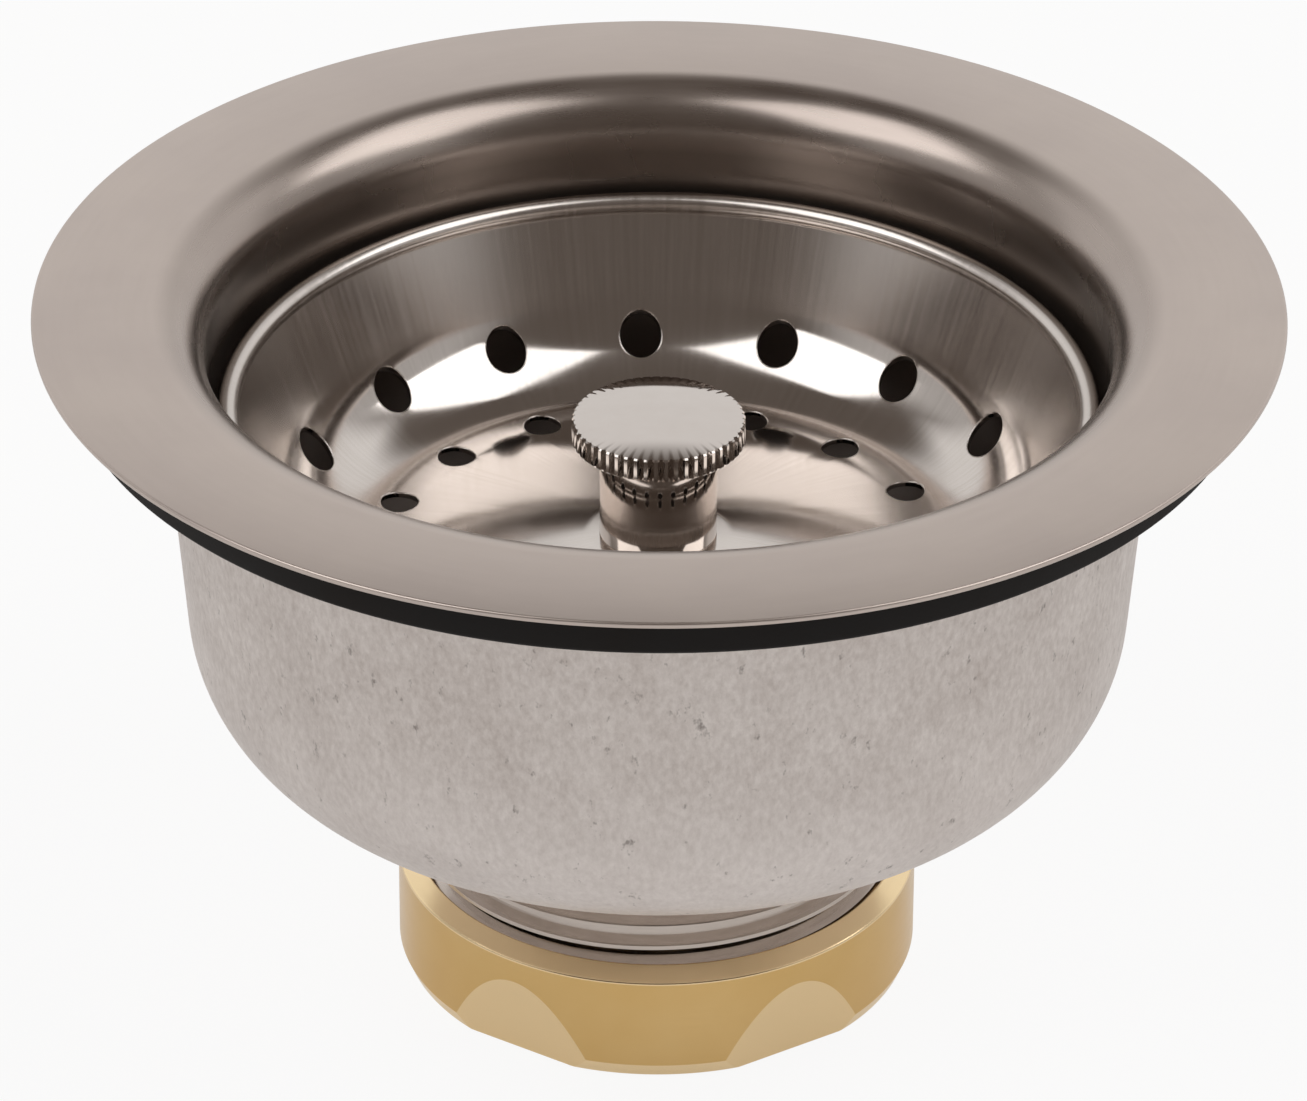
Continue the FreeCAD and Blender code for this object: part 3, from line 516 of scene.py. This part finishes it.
# The wall's outer side starts where it meets the bead, and the bead is swept from the inner side round to it
wall_start = rim_hub + wall_run * math.sqrt(BEAD_R ** 2 - BASKET_WALL ** 2)
basket_corners[-1] = (*(wall_start + Vector((-wall_run.y, wall_run.x)) * BASKET_WALL), None)
basket = trace(basket_corners, closed=False)
rim_end = min(basket.verts, key=lambda vert: (vert.co.xz - rim_spot * MM).length)
bmesh.ops.spin(
    basket, geom=[rim_end], cent=(rim_hub.x * MM, 0, rim_hub.y * MM), axis=(0, 1, 0), dvec=(0, 0, 0),
    angle=TURN - math.asin(BASKET_WALL / BEAD_R), steps=BEAD_STEPS)
bmesh.ops.remove_doubles(basket, verts=basket.verts[:], dist=BEAD_WELD)
dish = new_object(turned(basket, DISH_STEPS), "basket_dish")

HOLES, HOLE_TURN, HOLE_STEPS, PUNCH_RUN = 16, math.radians(3), 48, 8.0
# Each ring's radius and level, its holes' radius, and how far in degrees they lean
HOLE_RINGS = ((34.14, 46.48, 2.0, 20), (25.76, TROUGH_LEVEL, 1.78, 0))
punches = bmesh.new()
for ring_r, level, hole_r, lean in HOLE_RINGS:
    tilt = Matrix.Rotation(math.radians(-lean), 4, "Y")
    seat = Matrix.Translation((ring_r * MM, 0, level * MM))
    for hole in range(HOLES):
        around = Matrix.Rotation(HOLE_TURN + hole * TURN / HOLES, 4, "Z")
        bmesh.ops.create_cone(
            punches, cap_ends=True, segments=HOLE_STEPS, radius1=hole_r * MM, radius2=hole_r * MM,
            depth=PUNCH_RUN * MM, matrix=around @ seat @ tilt)
punch(dish, new_object(punches, "punches"))
set_in_place(dish, "basket")

# Coupling nut: a turned skirt with two opposite pairs of sloping flats milled off
NUT_R, NUT_FOOT_R, NUT_BORE_R, NUT_STEPS = 24.5, 23.9, 22.59, 288
NUT_FOOT_RISE, NUT_SHOULDER, NUT_TOP = 1.4, 10.5, 11.6
NUT_EDGE, NUT_HOLE_EDGE, NUT_SHOULDER_EDGE = 0.15, 0.2, 0.3
FLAT_LOW_R, FLAT_RISE, FLAT_TURN = 23.17, 8.1, 57.4
NUT_SMOOTH_UNDER = math.radians(6)
nut = turned(trace([
    (NUT_HOLE_R, 0, NUT_HOLE_EDGE), (NUT_FOOT_R, 0, NUT_EDGE), (NUT_R, NUT_FOOT_RISE, NUT_EDGE),
    (NUT_R, NUT_SHOULDER, NUT_SHOULDER_EDGE), (NUT_BORE_R, NUT_TOP, NUT_EDGE), (NUT_BORE_R, NUT_LIP, None),
    (NUT_HOLE_R, NUT_LIP, NUT_EDGE)]), NUT_STEPS)
flat_slope = math.atan2(NUT_R - FLAT_LOW_R, FLAT_RISE)
for flat_way in (FLAT_TURN, 180 - FLAT_TURN, 180 + FLAT_TURN, 360 - FLAT_TURN):
    facing = Matrix.Rotation(math.radians(flat_way), 4, "Z")
    sliced = bmesh.ops.bisect_plane(
        nut, geom=nut.verts[:] + nut.edges[:] + nut.faces[:], dist=WELD, clear_outer=True,
        plane_co=facing @ Vector((FLAT_LOW_R * MM, 0, 0)),
        plane_no=facing @ Vector((math.cos(flat_slope), 0, -math.sin(flat_slope))))
    rim = [item for item in sliced["geom_cut"] if isinstance(item, bmesh.types.BMEdge)]
    bmesh.ops.edgeloop_fill(nut, edges=rim)
bmesh.ops.recalc_face_normals(nut, faces=nut.faces[:])
set_in_place(new_object(nut, "flatted_nut"), "coupling_nut", NUT_SMOOTH_UNDER)

# Floor: white paint that keeps some shadow, seen almost plain white by the camera and less so by metal
FLOOR_HALF, FLOOR_DROP = 12.0, 0.05 * MM
WHITE_SHARE, MIRRORED_SHARE = 0.9, 0.4
ground = bmesh.new()
bmesh.ops.create_grid(
    ground, x_segments=1, y_segments=1, size=FLOOR_HALF, matrix=Matrix.Translation((0, 0, -FLOOR_DROP)))
floor = new_object(ground, "floor")
floor_paint, tree, shader = start_finish("matte white floor paint", Roughness=0.9, Specular_IOR_Level=0.1)
shader.inputs["Base Color"].default_value = linear("#F7F6F5")
rays = add(tree, "LightPath", {})
mirrored = add(tree, "Math", {
    0: rays.outputs["Is Glossy Ray"], 1: rays.outputs["Is Transmission Ray"]}, operation="MAXIMUM")
dimmed = add(tree, "Math", {0: mirrored, 1: MIRRORED_SHARE}, operation="MULTIPLY")
seen = add(tree, "Math", {0: rays.outputs["Is Camera Ray"], 1: dimmed}, operation="MAXIMUM")
share = add(tree, "Math", {0: seen, 1: WHITE_SHARE}, operation="MULTIPLY")
white = add(tree, "Emission", {"Color": (1, 1, 1, 1), "Strength": 1.0})
blend = add(tree, "MixShader", {0: share, 1: shader, 2: white})
feed(tree, tree.nodes["Material Output"], {"Surface": blend})
floor.data.materials.append(floor_paint)

# Studio: a pale backdrop, dimmer side walls, a dim room in front and overhead, and a softbox on each side
world = bpy.data.worlds.new("studio")
bpy.context.scene.world = world
world.use_nodes = True
tree = world.node_tree
sight = add(tree, "SeparateXYZ", {0: add(tree, "TexCoord", {}).outputs["Generated"]})
behind = add(tree, "MapRange", {
    "Value": sight.outputs["Y"], "From Min": 0.15, "From Max": 0.50}, interpolation_type="SMOOTHSTEP")
wall_height = add(tree, "MapRange", {
    "Value": sight.outputs["Z"], "From Min": 0.64, "From Max": 0.76, "To Min": 1.0, "To Max": 0.0},
    interpolation_type="SMOOTHSTEP")
aside = add(tree, "Math", {0: sight.outputs["X"]}, operation="ABSOLUTE")
side_walls = add(tree, "MapRange", {
    "Value": aside, "From Min": 0.60, "From Max": 0.85, "To Min": 0.0, "To Max": 0.5},
    interpolation_type="SMOOTHSTEP")
backdrop = add(tree, "Math", {0: behind, 1: wall_height}, operation="MULTIPLY")
walls = add(tree, "Math", {0: backdrop, 1: side_walls}, operation="MAXIMUM")
glow = add(tree, "Mix", {
    "Factor": walls, COLOUR_A: linear("#665E58"), COLOUR_B: linear("#F4F3F2")}, data_type="RGBA")
feed(tree, tree.nodes["Background"], {"Color": glow})

AIM = Vector((0, 0, 0.045))
SOFTBOX_AWAY, SOFTBOX_GLOW = 1.2, 1.85
# Each softbox's heading and rise in degrees, and its side in metres
SOFTBOXES = {"left_softbox": (205, 51, 0.92), "right_softbox": (-9, 53, 0.90)}
for name, (way, rise, size) in SOFTBOXES.items():
    lamp = bpy.data.lights.new(name, "AREA")
    lamp.size = size
    lamp.energy = SOFTBOX_GLOW * math.pi * size ** 2
    stand = bpy.data.objects.new(name, lamp)
    level = math.cos(math.radians(rise))
    heading = Vector((
        level * math.cos(math.radians(way)),
        level * math.sin(math.radians(way)),
        math.sin(math.radians(rise))))
    stand.location = AIM + heading * SOFTBOX_AWAY
    stand.rotation_euler = heading.to_track_quat("Z", "Y").to_euler()
    bpy.context.collection.objects.link(stand)

# Camera, fitted to the flange, the rim, the cup and the nut, with its angles in degrees
SENSOR_WIDTH, LENS = 36.0, 211.29
CAMERA_SPOT = (0, -0.61402, 0.40350)
LOOK_DOWN, LOOK_LEFT, ROLL = 30.453, 0.040, 0.251
view = bpy.data.cameras.new("camera")
view.sensor_width = SENSOR_WIDTH
view.lens = LENS
camera = bpy.data.objects.new("camera", view)
camera.location = CAMERA_SPOT
level_view = Euler((math.radians(90 - LOOK_DOWN), 0, math.radians(LOOK_LEFT)), "XYZ").to_matrix()
camera.rotation_euler = (level_view @ Matrix.Rotation(math.radians(ROLL), 3, "Z")).to_euler()
bpy.context.collection.objects.link(camera)
bpy.context.scene.camera = camera
bpy.context.scene.view_settings.view_transform = "Standard"
